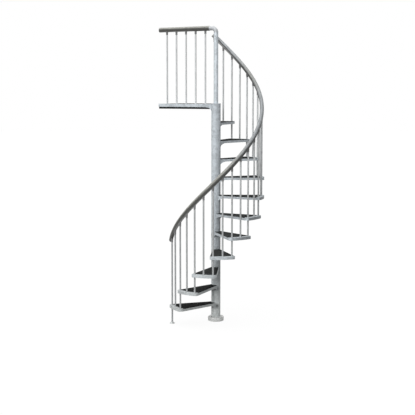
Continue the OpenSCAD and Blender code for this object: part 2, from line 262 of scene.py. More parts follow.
class Socket:
    """Wraps a node's output, so that shader maths reads as Python."""

    def __init__(self, tree, output):
        self.tree = tree
        self.output = output

    @staticmethod
    def node(tree, kind, settings, values):
        """Adds any node: its settings first, then a value or a link for each input, by name or number."""
        made = tree.nodes.new(kind)
        for key, value in settings.items():
            setattr(made, key, value)
        for key, value in values.items():
            give(made.inputs[key], value)
        return made

    def worked(self, operation, first, second):
        """One Math node on two values, of which one may be a plain number."""
        made = self.node(self.tree, "ShaderNodeMath", {"operation": operation}, {0: first, 1: second})
        return Socket(self.tree, made.outputs[0])

    def math(self, operation, other=0.0):
        """One Math node on this value and another, if the operation takes two."""
        return self.worked(operation, self, other)

    def __add__(self, other):
        return self.math("ADD", other)

    def __radd__(self, other):
        return self.worked("ADD", other, self)

    def __sub__(self, other):
        return self.math("SUBTRACT", other)

    def __rsub__(self, other):
        return self.worked("SUBTRACT", other, self)

    def __mul__(self, other):
        return self.math("MULTIPLY", other)

    def __rmul__(self, other):
        return self.worked("MULTIPLY", other, self)

    def largest(self, other):
        """The larger of this value and another."""
        return self.math("MAXIMUM", other)

    def between(self, low, high):
        """This value's place from low to high, smooth and held to 0 and 1."""
        made = self.node(self.tree, "ShaderNodeMapRange", {"interpolation_type": "SMOOTHSTEP"},
                         {"Value": self, "From Min": low, "From Max": high})
        return Socket(self.tree, made.outputs["Result"])


def give(slot, value):
    """Links an input to a socket, or sets it to a number or to a colour of three parts."""
    if isinstance(value, Socket):
        value.tree.links.new(value.output, slot)
    elif isinstance(value, tuple):
        slot.default_value = (*value, 1.0)
    else:
        slot.default_value = value


class Finish:
    """A material under construction: its tree, its shader, its Object coordinates and its chart."""

    def __init__(self, name):
        self.material = bpy.data.materials.new(name)
        self.material.use_nodes = True
        self.tree = self.material.node_tree
        self.shader = self.tree.nodes["Principled BSDF"]
        coordinates = Socket.node(self.tree, "ShaderNodeTexCoord", {}, {})
        self.place = Socket(self.tree, coordinates.outputs["Object"])
        self.unrolled = Socket(self.tree, coordinates.outputs["UV"])

    def added(self, output, kind, values, settings=None):
        """One output of a new node."""
        made = Socket.node(self.tree, kind, settings or {}, values)
        return Socket(self.tree, made.outputs[output])

    def noise(self, scale, detail=3.0):
        """Smooth noise over the surface, from 0 to 1."""
        return self.added("Fac", "ShaderNodeTexNoise",
                          {"Vector": self.place, "Scale": scale, "Detail": detail})

    def cells(self, scale):
        """One grey for each Voronoi cell, from 0 to 1."""
        spots = self.added("Color", "ShaderNodeTexVoronoi", {"Vector": self.place, "Scale": scale})
        return self.added("Red", "ShaderNodeSeparateColor", {"Color": spots})

    def along(self, axis):
        """Place along X, Y or Z, in metres."""
        return self.added(axis, "ShaderNodeSeparateXYZ", {"Vector": self.place})

    def chart(self, axis):
        """One axis of the piece's own chart: metres along it, then its second measure."""
        return self.added(axis, "ShaderNodeSeparateXYZ", {"Vector": self.unrolled})

    def mix(self, factor, first, second):
        """Colour from first to second."""
        return self.added(2, "ShaderNodeMix", {0: factor, 6: first, 7: second}, {"data_type": "RGBA"})

    def set(self, **inputs):
        """Links or sets inputs of the shader, whose names have underscores for spaces here."""
        for key, value in inputs.items():
            give(self.shader.inputs[key.replace("_", " ")], value)
        return self

    def bump(self, height, strength, distance):
        """Feeds a height through a Bump node into the shader's normal."""
        return self.set(Normal=self.added(
            "Normal", "ShaderNodeBump", {"Height": height, "Strength": strength, "Distance": distance}))


def tinted(colour, factor=1.0):
    """A colour made lighter or darker, as a plain tuple."""
    return tuple(min(1.0, part * factor) for part in colour)


def once(recipe):
    """Makes a finish from its recipe on the first use of a name, and finds it by that name later."""
    def finish(name, *values):
        return bpy.data.materials.get(name) or recipe(Finish(name), *values).material
    return finish


def colours():
    """The scene's colours of the finishes."""
    return bpy.context.scene.stair_finish


# Finishes

# Where painted shade, painted light and painted floor bounce fall on the steel and the balusters, and where
# the boards have worn: each pair is where a change begins and ends, in metres
COLUMN_EDGE = COLUMN_RADIUS + 0.0005, COLUMN_RADIUS + 0.002
# Painted shade on the column's +X side, up to where it fades out high on the column
SHADE_SIDE, SHADE_TOP = (0.046, 0.062), (2.0, 2.7)
# Painted shadow of the treads above, on the column at knee height
KNEE_FOOT, KNEE_TOP, KNEE_SHARE = (0.58, 0.72), (0.9, 1.25), 0.28
# Painted shade on the column's side and knee fades out towards the floor
SHADE_FOOT = 0.3, 0.8
# Painted shadows on the column's front beside the lower hubs
HUB_BELOW, HUB_TOP, HUB_SHARE = 0.085, (1.15, 1.35), 0.95
HUB_FACE_X, HUB_FACE_Y = (0.02, 0.055), (-0.02, 0.02)
# Painted shade on the outer rims of the treads on the +X side
RIM_EDGE, RIM_SIDE, RIM_SHARE = (0.6175, 0.6205), (0.12, 0.42), 0.8
# Painted light: the column is made paler near the floor, up to this height
PALE_TOP = 0.4, 0.75
# Painted floor bounce: where the zinc turns from its colour near the floor to its own
LOW_TO_HIGH = 0.0, 1.3
# Painted shade: balusters darker low down than high up, between these heights
BALUSTER_LOW_TO_HIGH = 1.5, 2.9
BOARD_WORN, BOARD_LESS_WORN, BOARD_WEAR_LOST = (0.25, 0.7), (1.2, 1.7), 0.7
BOARD_BRUSH = 0.0017
POLE_LIFT = 1.2

# Shares of one rise in which a hub's painted shadow comes and goes
HUB_IN, HUB_OUT = (0.0, 0.22), (0.22, 0.44)

# Stretches along the spiral rail, in metres from its first end, and zones across it, from underside to top;
# the far stretch carries painted light
RAIL_START, RAIL_FAR, RAIL_END = (0.12, 0.36), (2.95, 3.6), (3.725, 3.745)
RAIL_TURN, RAIL_PAST_TURN, RAIL_COOL_LOST = (1.2, 1.9), (2.4, 3.1), 0.65
# The top zone is a painted highlight
RAIL_TOP, RAIL_UNDER = (0.62, 0.82), (0.05, 0.26)
# Painted light on the far stretch: how much it lifts the colour and widens the top and underside zones
RAIL_FAR_LIFT, RAIL_FAR_TOP, RAIL_FAR_UNDER = 1.5, 0.1, 0.2


def painted_zinc_shading(f, cloud):
    """How much painted shade darkens the zinc, and how much painted light makes it paler.

    Painted shade falls on the column's +X side, at knee height, beside the lower hubs on its front and on
    the rims of the treads on that side. Painted light makes the column paler near the floor.
    """
    def ragged(value, by):
        """A place that the cloud shifts, so that an edge there is uneven."""
        return value + cloud * by

    x, y, z = (f.along(axis) for axis in "XYZ")
    reach = (x * x + y * y).math("SQRT")
    # Painted shade on the column's +X side
    side_shade = ragged(x, by=0.012).between(*SHADE_SIDE) * (1 - ragged(z, by=0.8).between(*SHADE_TOP))
    # Painted shadow of the treads above, at knee height
    knee = (1 - ragged(z, by=0.4).between(*KNEE_TOP)) * ragged(z, by=0.2).between(*KNEE_FOOT) * KNEE_SHARE
    # Painted shadows beside the lower hubs, kept to the column's front only
    phase = ((ragged(z, by=0.03) - (FIRST_TOP - HUB_BELOW)) * (1 / RISE)).math("FRACT")
    hubs = phase.between(*HUB_IN) * (1 - phase.between(*HUB_OUT)) * (1 - z.between(*HUB_TOP)) * HUB_SHARE
    face = (1 - x.between(*HUB_FACE_X)) * (1 - y.between(*HUB_FACE_Y))
    painted_shade = (side_shade.largest(knee) * ragged(z, by=0.1).between(*SHADE_FOOT)).largest(hubs * face)
    column = 1 - reach.between(*COLUMN_EDGE)
    # Painted shade on the treads' rims on the +X side
    rims = reach.between(*RIM_EDGE) * ragged(x, by=0.1).between(*RIM_SIDE) * RIM_SHARE
    return column * painted_shade + rims, column * (1 - ragged(z, by=0.15).between(*PALE_TOP))


@once
def zinc_finish(f, lift):
    """Galvanised steel: two sizes of spangle, greyer near the floor as painted floor bounce, with painted
    shade in places and painted light on the low column, finely grained.
    """
    colour, grey = tinted(colours().zinc, lift), tinted(colours().zinc_low, lift)
    # Painted floor bounce: greyer zinc low down
    high = f.along("Z").between(*LOW_TO_HIGH)
    spangle = f.cells(scale=85.0)
    patch = f.cells(scale=26.0)
    cloud = f.noise(scale=7.0, detail=4.0)
    shade = (spangle * 0.25 + patch * 0.3 + cloud * 0.45).between(0.2, 0.8)

    def shaded(dark, pale):
        """Colour from a dark to a pale tint, each of them greyer low down as painted floor bounce."""
        return f.mix(shade, f.mix(high, tinted(grey, dark), tinted(colour, dark)),
                     f.mix(high, tinted(grey, pale), tinted(colour, pale)))

    # How far painted shade darkens each place, and how far painted light lifts it
    painted_shade_share, painted_lift = painted_zinc_shading(f, cloud)
    # Painted light: the low column takes paler tints than the rest
    unshaded = f.mix(painted_lift, shaded(dark=0.78, pale=1.14), shaded(dark=1.02, pale=1.48))
    # Painted shade: the darkened places take the darkest tints
    f.set(Base_Color=f.mix(painted_shade_share, unshaded, shaded(dark=0.24, pale=0.48)),
          Roughness=0.4 + cloud * 0.18, Metallic=0.1, Specular_IOR_Level=0.35)
    return f.bump(spangle * 0.4 + f.noise(scale=240.0) * 0.6, strength=0.12, distance=0.0006)


@once
def baluster_finish(f):
    """Slim galvanised tube, cloudy with fine spangle, darker low down than high up as painted shade."""
    colour = colours().tube
    cloud = f.noise(scale=14.0)
    shade = (cloud * 0.7 + f.cells(scale=120.0) * 0.3).between(0.25, 0.75)
    # Painted shade: the tube is darker low down, paler high up
    high = (f.along("Z") + cloud * 0.4).between(*BALUSTER_LOW_TO_HIGH)
    dark = f.mix(high, tinted(colour, 0.76), tinted(colour, 1.14))
    pale = f.mix(high, tinted(colour, 0.92), tinted(colour, 1.42))
    f.set(Base_Color=f.mix(shade, dark, pale), Roughness=0.38 + cloud * 0.15, Metallic=0.1,
          Specular_IOR_Level=0.3)
    return f.bump(f.noise(scale=300.0), strength=0.1, distance=0.0004)


@once
def weld_finish(f):
    """Weld under zinc: greyer than the plate, with fine spatter."""
    colour = tinted(colours().zinc, 0.75)
    spatter = f.noise(scale=160.0, detail=4.0)
    f.set(Base_Color=f.mix(spatter.between(0.3, 0.8), tinted(colour, 0.85), tinted(colour, 1.1)),
          Roughness=0.45 + spatter * 0.2, Metallic=0.3)
    return f.bump(spatter, strength=0.3, distance=0.0006)


@once
def board_finish(f):
    """Dark moulded board: brushed lines, pebbled grain and dust, most on the third to fifth treads."""
    colour = colours().board
    dust = f.noise(scale=18.0, detail=6.0)
    brushed = (f.chart("Y") * (2 * math.pi / BOARD_BRUSH) + dust * 4.0).math("SINE")
    high = f.along("Z")
    worn = high.between(*BOARD_WORN) * (1 - high.between(*BOARD_LESS_WORN) * BOARD_WEAR_LOST)
    dark = f.mix(worn, tinted(colour), tinted(colour, 3.2))
    pale = f.mix(worn, tinted(colour, 2.4), tinted(colour, 6.0))
    f.set(Base_Color=f.mix((dust + brushed * 0.06).between(0.4, 0.85), dark, pale),
          Roughness=0.7 + dust * 0.2, Specular_IOR_Level=0.05)
    return f.bump(f.noise(scale=420.0, detail=2.0) * 0.8 + brushed * 0.2, strength=0.25, distance=0.0006)


@once
def rail_finish(f):
    """Satin plastic handrail: a painted highlight on top and painted light at its far end, dark at its
    sides, pale underneath.
    """
    low, cool, strip = colours().rail, colours().rail_cool, tinted(colours().strip)
    wear = f.noise(scale=22.0, detail=5.0)
    worn = wear.between(0.3, 0.8)
    place = f.chart("Y") + wear * 0.08
    run = f.chart("X")
    # Painted light: the rail's far stretch is made paler
    far = run.between(*RAIL_FAR)
    turn = run.between(*RAIL_TURN) * (1 - run.between(*RAIL_PAST_TURN) * RAIL_COOL_LOST)

    def toned(dark, pale):
        """Colour from a dark to a pale tint, cooler on the turn and lifted at the far end by painted light.
        """
        near, middle, end = (f.mix(worn, tinted(colour, dark * lift), tinted(colour, pale * lift))
                             for colour, lift in ((low, 1.0), (cool, 1.0), (cool, RAIL_FAR_LIFT)))
        return f.mix(far, f.mix(turn, near, middle), end)

    # Painted highlight: the top zone takes tints three to four times paler
    body = f.mix((place + far * RAIL_FAR_TOP).between(*RAIL_TOP), toned(dark=0.88, pale=1.12),
                 toned(dark=3.0, pale=3.9))
    # The underside band and the rail's last two centimetres take the pale colour
    under = (1 - (place - far * RAIL_FAR_UNDER).between(*RAIL_UNDER)) * run.between(*RAIL_START)
    f.set(Base_Color=f.mix(under.largest(run.between(*RAIL_END)), body, strip),
          Roughness=0.36 + wear * 0.14, Specular_IOR_Level=0.25)
    return f.bump(f.noise(scale=500.0, detail=2.0), strength=0.06, distance=0.0003)


@once
def fitting_finish(f):
    """Dark moulded plastic of the tips."""
    colour = colours().fitting
    wear = f.noise(scale=60.0, detail=4.0)
    f.set(Base_Color=f.mix(wear.between(0.35, 0.8), tinted(colour), tinted(colour, 1.6)),
          Roughness=0.45 + wear * 0.15, Specular_IOR_Level=0.2)
    return f.bump(f.noise(scale=600.0, detail=2.0), strength=0.1, distance=0.0004)


@once
def coat_finish(f, colour):
    """Pale satin coat with a cloudy sheen and a fine grain."""
    cloud = f.noise(scale=16.0, detail=4.0)
    f.set(Base_Color=f.mix(cloud.between(0.3, 0.75), tinted(colour, 0.95), tinted(colour, 1.05)),
          Roughness=0.36 + cloud * 0.12, Coat_Weight=0.15)
    return f.bump(f.noise(scale=380.0, detail=2.0), strength=0.06, distance=0.0004)


def dress(nodes, material):
    """Gives CAD nodes a material in place of their plain one."""
    for name in nodes:
        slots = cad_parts[name].data.materials
        slots.clear()
        slots.append(material)


# Mesh helpers

def quads(rows, columns, closed=False, start=0):
    """Faces of a grid of rows by columns of points; closed joins the last column to the first."""
    i, j = np.meshgrid(np.arange(rows - 1), np.arange(columns if closed else columns - 1), indexing="ij")
    after = (j + 1) % columns
    corners = [i * columns + j, i * columns + after, (i + 1) * columns + after, (i + 1) * columns + j]
    return start + np.stack(corners, axis=-1).reshape(-1, 4)


def joined(grids, closed=False):
    """Points and faces of several grids as one mesh."""
    faces, count = [], 0
    for grid in grids:
        faces.append(quads(grid.shape[0], grid.shape[1], closed, count))
        count += grid.shape[0] * grid.shape[1]
    return np.concatenate([grid.reshape(-1, 3) for grid in grids]), np.concatenate(faces)


def welded(points, faces):
    """The first of the points at each place, and the faces between those, without the ones left flat."""
    rounded = np.round(points, SAME_PLACE_DIGITS)
    _, first, place = np.unique(rounded, axis=0, return_index=True, return_inverse=True)
    faces = place.ravel()[faces]
    extra = faces == np.roll(faces, -1, axis=1)
    folded = (faces[:, 0] == faces[:, 2]) | (faces[:, 1] == faces[:, 3])
    whole, three = ~extra.any(axis=1) & ~folded, extra.sum(axis=1) == 1
    triangles = faces[three][~extra[three]].reshape(-1, 3)
    return first, faces[whole].tolist() + triangles.tolist()


def piece(name, points, faces, material, slot, chart=None, sharp=40.0):
    """A welded mesh that rides on the frame, smooth but for edges past the sharp angle, in degrees."""
    first, faces = welded(points, faces)
    mesh = bpy.data.meshes.new(name)
    mesh.from_pydata(points[first].tolist(), [], faces)
    mesh.polygons.foreach_set("use_smooth", np.ones(len(mesh.polygons), dtype=bool))
    mesh.set_sharp_from_angle(angle=math.radians(sharp))
    if chart is not None:
        corner = np.empty(len(mesh.loops), dtype=np.int32)
        mesh.loops.foreach_get("vertex_index", corner)
        layer = mesh.uv_layers.new(name="chart")
        layer.data.foreach_set("uv", chart.reshape(-1, 2)[first][corner].astype(np.float32).ravel())
    mesh.materials.append(material)
    made = bpy.data.objects.new(name, mesh)
    bpy.context.scene.collection.objects.link(made)
    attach(made, "root")
    return made


def polar(r, angle):
    """Points at a radius and an angle: r * cos, r * sin."""
    return np.stack(np.broadcast_arrays(r * np.cos(angle), r * np.sin(angle)), axis=-1)


def spun(points, angle, height=0.0):
    """Points turned about Z by an angle and lifted."""
    x, y, z = points[..., 0], points[..., 1], points[..., 2]
    cos, sin = math.cos(angle), math.sin(angle)
    return np.stack([x * cos - y * sin, x * sin + y * cos, z + height], axis=-1)


def bow(centre, radii, start, end):
    """Points on an ellipse from one angle to another, in degrees."""
    angle = np.radians(np.linspace(start, end, BOW_STEPS))
    return np.asarray(centre) + np.asarray(radii) * polar(1.0, angle)


def tube(path, across, up, radius, sides, depth=None):
    """Rings round a path: path + across * radius * cos + up * depth * sin, facing outwards."""
    turn = np.linspace(0, -2 * math.pi, sides, endpoint=False)
    wide = np.broadcast_to(radius, len(path))[:, None, None]
    tall = np.broadcast_to(radius if depth is None else depth, len(path))[:, None, None]
    return (path[:, None, :] + across[:, None, :] * np.cos(turn)[None, :, None] * wide
            + up[:, None, :] * np.sin(turn)[None, :, None] * tall)


def held(*lines):
    """Lines of points with their first and last point doubled, so that a tube's rings can close there."""
    return (np.pad(line, ((1, 1), (0, 0)), mode="edge") for line in lines)


def turned(profile, place, sides):
    """A profile of radius and height turned about the upright axis through a place, from 45 degrees on."""
    turn = math.pi / 4 + np.linspace(0, 2 * math.pi, sides, endpoint=False)
    r, z = np.asarray(profile, dtype=float).T
    rings = polar(r[:, None], turn)
    heights = np.broadcast_to(z[:, None, None], (*rings.shape[:2], 1))
    return np.asarray(place) + np.concatenate([rings, heights], axis=-1)


def groove_lines(low, high, pitch, width):
    """Places across a board, five for each groove, and the share of the groove's depth at each of them."""
    count = int((high - low) // pitch)
    centres = (low + high) / 2 + (np.arange(count) - (count - 1) / 2) * pitch
    lines = (centres[:, None] + GROOVE_PLACES * width).ravel()
    before = low + BOARD_SIDE_RIM
    after = (high - BOARD_SIDE_RIM)[::-1]
    before, after = before[before < lines[0]], after[after > lines[-1]]
    share = np.concatenate([np.zeros(len(before)), np.tile(GROOVE_SHARES, count), np.zeros(len(after))])
    return np.concatenate([before, lines, after]), share


def grooved_board(lines, share, start, end, inside, slant, sizes):
    """A board as lines along X at places along Y, from start to end, with its skirt and its underside.

    Height falls from the top by a quarter circle within the edge's distance of the outline, and by the
    groove's depth times its share further in. Inside gives the distance from the outline, and slant
    stretches the rim where the outline runs aslant.
    """
    edge = sizes.edge
    first = start(lines)
    length = np.maximum(end(lines) - first, 0.0)
    rim = BOARD_RIM * edge
    most = BOARD_RIM_MOST * rim / rim[-1]
    share_of = rim[None, :] / np.maximum(length, SHORTEST_LINE)[:, None]
    near = np.minimum(share_of * slant(lines)[:, None], most)
    far = np.minimum(share_of, most)
    middle = near[:, -1:] + (1 - near[:, -1:] - far[:, -1:]) * BOARD_MIDDLE
    along = np.concatenate([near, middle, 1 - far[:, ::-1]], axis=1)
    x = first[:, None] + length[:, None] * along
    y = np.broadcast_to(lines[:, None], x.shape)
    within = inside(x, y)
    drop = edge - np.sqrt(edge ** 2 - (edge - np.clip(within, 0, edge)) ** 2)
    groove = sizes.groove_depth * share[:, None] * np.clip(within / edge - GROOVE_START, 0, 1)
    x, y = np.pad(x, 1, mode="edge"), np.pad(y, 1, mode="edge")
    top = np.stack([x, y, np.pad(-drop - groove, 1, constant_values=-BOARD_THICKNESS)], axis=-1)
    under = np.stack([x, y, np.full(x.shape, -BOARD_THICKNESS)], axis=-1)[:, ::-1]
    return top, under, np.concatenate([top[..., :2].reshape(-1, 2), under[..., :2].reshape(-1, 2)])


# Places along the stair

def rail_z(sizes, angle):
    """Height of the spiral rail's axis at an angle."""
    return FIRST_TOP + sizes.rail_height + (angle - sizes.start_angle) / sizes.pitch * RISE


def rail_tangent(sizes, angle):
    """Direction of the climbing rail at an angle."""
    lead = np.full_like(angle, RISE / sizes.pitch)
    run = np.column_stack([polar(sizes.ring_radius, angle + math.pi / 2), lead])
    return run / np.linalg.norm(run, axis=-1, keepdims=True)


def nosing_angle(sizes, k):
    """Angle of the nosing baluster of tread k."""
    return sizes.start_angle + (k - 1) * sizes.pitch


def platform_turn(sizes):
    """Angle of the platform's railing."""
    return nosing_angle(sizes, TREADS + 1) + sizes.platform_angle


def platform_end(sizes):
    """Distance from the column's axis to the platform's far end, from the corner of its frame."""
    turn = platform_turn(sizes)
    return (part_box("platform_frame")[0].x + sizes.front_overlap * math.sin(turn)) / math.cos(turn)


def platform_rail_start(sizes):
    """Distance from the column's axis to the platform rail's first end."""
    turn = platform_turn(sizes)
    return (PLATFORM_RAIL_HIGH.x - sizes.rail_width / 2 * math.sin(turn)) / math.cos(turn)


# Pieces

class STAIR_OT_steelwork(bpy.types.Operator):
    """Galvanised finish on the column, the tread frames and the platform's frame"""
    bl_idname = "stair.steelwork"
    bl_label = "Steelwork"

    def execute(self, context):
        dress(FRAME_NODES + ["platform_frame", "spacer_tubes", "column_cap", "base_plate"],
              zinc_finish("zinc_spangle", 1.0))
        dress(["centre_pole"], zinc_finish("pole_spangle", POLE_LIFT))
        return {"FINISHED"}


class STAIR_OT_welds(bpy.types.Operator):
    """Weld beads where the side plates meet the hubs: upright tubes whose radius swells in ripples"""
    bl_idname = "stair.welds"
    bl_label = "Weld beads"

    def execute(self, context):
        sizes = context.scene.stair_sizes
        half = sizes.pitch / 2
        beads = []
        for k, node in enumerate(FRAME_NODES, 1):
            middle = nosing_angle(sizes, k) + half
            top = tread_top(k) - sizes.flange_drop
            beads.append(self.bead(sizes, middle + half, sizes.side_overlap, node, top))
            beads.append(self.bead(sizes, middle - half, -sizes.side_overlap, node, top))
        turn, top = platform_turn(sizes), PLATFORM_TOP - PLATFORM_FLANGE_DROP
        beads.append(self.bead(sizes, turn, sizes.front_overlap, "platform_frame", top))
        beads.append(self.bead(sizes, turn - sizes.platform_angle, -sizes.side_overlap,
                               "platform_frame", top))
        piece("weld_beads", *joined(beads, closed=True), weld_finish("weld_zinc"),
              "galvanised_steel", sharp=80.0)
        return {"FINISHED"}

    @staticmethod
    def bead(sizes, angle, offset, node, top):
        """An upright tube on the hub beside a plate, rippled by a sine and pointed at both ends."""
        rise = np.linspace(0, 1, WELD_STEPS)
        ends = np.sqrt(np.abs(np.sin(np.pi * rise)).round(NOTHING_DIGITS))
        swell = sizes.weld * (1 + WELD_RIPPLE * np.sin(rise * WELD_RIPPLE_TURN)) * ends
        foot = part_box(node)[0].z + WELD_FOOT
        out = np.full(WELD_STEPS, math.sqrt(COLUMN_RADIUS ** 2 - offset ** 2))
        line = np.column_stack([out, np.full(WELD_STEPS, offset), foot + (top - foot) * rise])
        across = np.tile([1.0, 0.0, 0.0], (WELD_STEPS, 1))
        up = np.tile([0.0, -1.0, 0.0], (WELD_STEPS, 1))
        return spun(tube(line, across, up, swell, WELD_SIDES), angle)


class STAIR_OT_boards(bpy.types.Operator):
    """Dark grooved boards of the treads, from the hub's arc and the side flanges to the lip's arc"""
    bl_idname = "stair.boards"
    bl_label = "Boards"

    def execute(self, context):
        sizes = context.scene.stair_sizes
        half = sizes.pitch / 2
        side = sizes.side_overlap - sizes.plate - sizes.clearance
        near, far = COLUMN_RADIUS + sizes.clearance, sizes.lip_radius - sizes.clearance
        widest = far * math.sin(half + math.asin(side / far))
        turn = near * math.sin(half + math.asin(side / near))

        def start(y):
            """X where a line begins: on the hub's circle, or on the side flange past its corner."""
            reach = np.abs(y)
            flange = (reach - side * math.cos(half)) / math.tan(half) - side * math.sin(half)
            return np.where(reach < turn, np.sqrt(np.maximum(near ** 2 - y ** 2, 0)), flange)

        def end(y):
            """X where a line ends, on the lip's circle."""
            return np.sqrt(far ** 2 - y ** 2)

        def inside(x, y):
            """Distance inwards from the nearest of the hub, the lip and the side flanges."""
            r = np.hypot(x, y)
            flange = side - (np.abs(y) * math.cos(half) - x * math.sin(half))
            return np.minimum.reduce([r - near, far - r, flange])

        def slant(y):
            """Stretch of the rim: 1 at the hub, 1 / sin of half the pitch at a flange."""
            return np.where(np.abs(y) < turn, 1.0, 1 / math.sin(half))

        lines, share = groove_lines(-widest, widest, sizes.groove_pitch, sizes.groove_width)
        top, under, chart = grooved_board(lines, share, start, end, inside, slant, sizes)
        finish = board_finish("dark_board")
        for k, node in enumerate(BOARD_NODES, 1):
            middle = nosing_angle(sizes, k) + half
            grids = [spun(grid, middle, tread_top(k)) for grid in (top, under)]
            made = piece(f"board_{k:02d}", *joined(grids), finish, "board", chart)
            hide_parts(node)
        return {"FINISHED"}


class STAIR_OT_platform(bpy.types.Operator):
    """Platform's board with grooves along its railing, from the hub and the nosing side to the far end"""
    bl_idname = "stair.platform"
    bl_label = "Platform board"

    def execute(self, context):
        sizes = context.scene.stair_sizes
        skin = sizes.plate + sizes.clearance
        near = COLUMN_RADIUS + sizes.clearance
        side = sizes.side_overlap - skin
        angle = sizes.platform_angle
        front = sizes.front_overlap - sizes.lip_width - sizes.clearance
        back = -(sizes.ring_radius * math.sin(angle) + sizes.front_overlap - skin)
        far = platform_end(sizes) - skin

        def start(y):
            """X where a line begins: on the hub's circle, or on the nosing side past it."""
            nosing = (-y - side * math.cos(angle)) / math.tan(angle) - side * math.sin(angle)
            return np.where(-y < near, np.sqrt(np.maximum(near ** 2 - y ** 2, 0)), nosing)

        def end(y):
            """X where every line ends, at the far plate."""
            return np.full_like(y, far)

        def inside(x, y):
            """Distance inwards from the nearest of the hub and the four sides."""
            nosing = side + x * math.sin(angle) + y * math.cos(angle)
            return np.minimum.reduce([np.hypot(x, y) - near, nosing, far - x, front - y, y - back])

        def slant(y):
            """Stretch of the rim: 1 at the hub, 1 / sin of the nosing side's angle past it."""
            return np.where(-y < near, 1.0, 1 / math.sin(angle))

        lines, share = groove_lines(back, front, sizes.groove_pitch, sizes.groove_width)
        top, under, chart = grooved_board(lines, share, start, end, inside, slant, sizes)
        grids = [spun(grid, platform_turn(sizes), PLATFORM_TOP) for grid in (top, under)]
        finish = board_finish("dark_board")
        made = piece("platform_deck", *joined(grids), finish, "board", chart)
        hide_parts("platform_board")
        dress(["platform_bearers"], finish)
        return {"FINISHED"}


class STAIR_OT_balusters(bpy.types.Operator):
    """Balusters, with moulded tips turned from a ribbed profile under the rails"""
    bl_idname = "stair.balusters"
    bl_label = "Balusters and tips"

    def execute(self, context):
        sizes = context.scene.stair_sizes
        dress(["nosing_balusters", "middle_balusters", "platform_balusters"],
              baluster_finish("baluster_zinc"))
        spiral = sizes.start_angle + np.arange(2 * TREADS + 1) * sizes.pitch / 2
        places = [(*polar(sizes.ring_radius, angle), rail_z(sizes, angle)) for angle in spiral]
        slope = math.atan(RISE / sizes.pitch / sizes.ring_radius)
        self.tips("spiral_tips", sizes, places, slope, "baluster_tips")
        low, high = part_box("platform_baluster_tips")
        turn, inset = platform_turn(sizes), sizes.tip_diameter / 2
        first, last = (high.x - inset) / math.cos(turn), (low.x + inset) / math.cos(turn)
        reaches = np.linspace(first, last, PLATFORM_BALUSTERS)
        places = [(*polar(out, turn), PLATFORM_RAIL_LEVEL) for out in reaches]
        self.tips("platform_tips", sizes, places, 0.0, "platform_baluster_tips")
        return {"FINISHED"}

    def tips(self, name, sizes, places, slope, node):
        """One tip at each place on a rail's axis, in place of the node."""
        grids = [turned(self.profile(sizes, slope), place, TIP_SIDES) for place in places]
        made = piece(name, *joined(grids, closed=True), fitting_finish("fitting_plastic"), "dark_fitting")
        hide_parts(node)

    @staticmethod
    def profile(sizes, slope):
        """Radius and height of a tip, from its rim up into the rail and back along the baluster."""
        wide, rail = sizes.tip_diameter / 2, sizes.rail_depth / 2
        foot = -rail / math.cos(slope) - sizes.tip_body
        bore, neck, top = sizes.baluster_diameter / 2, wide - TIP_CHAMFER, -rail * TIP_SUNK
        return [(bore, foot + TIP_FLARE), (bore + TIP_FLARE_WIDTH, foot), (neck, foot),
                (wide, foot + TIP_CHAMFER), (wide, foot + TIP_COLLAR), (neck, foot + TIP_NECK_LOW),
                (neck, foot + TIP_NECK_HIGH), (wide, foot + TIP_SHOULDER), (wide, top), (bore, top),
                (bore, foot + TIP_FLARE)]


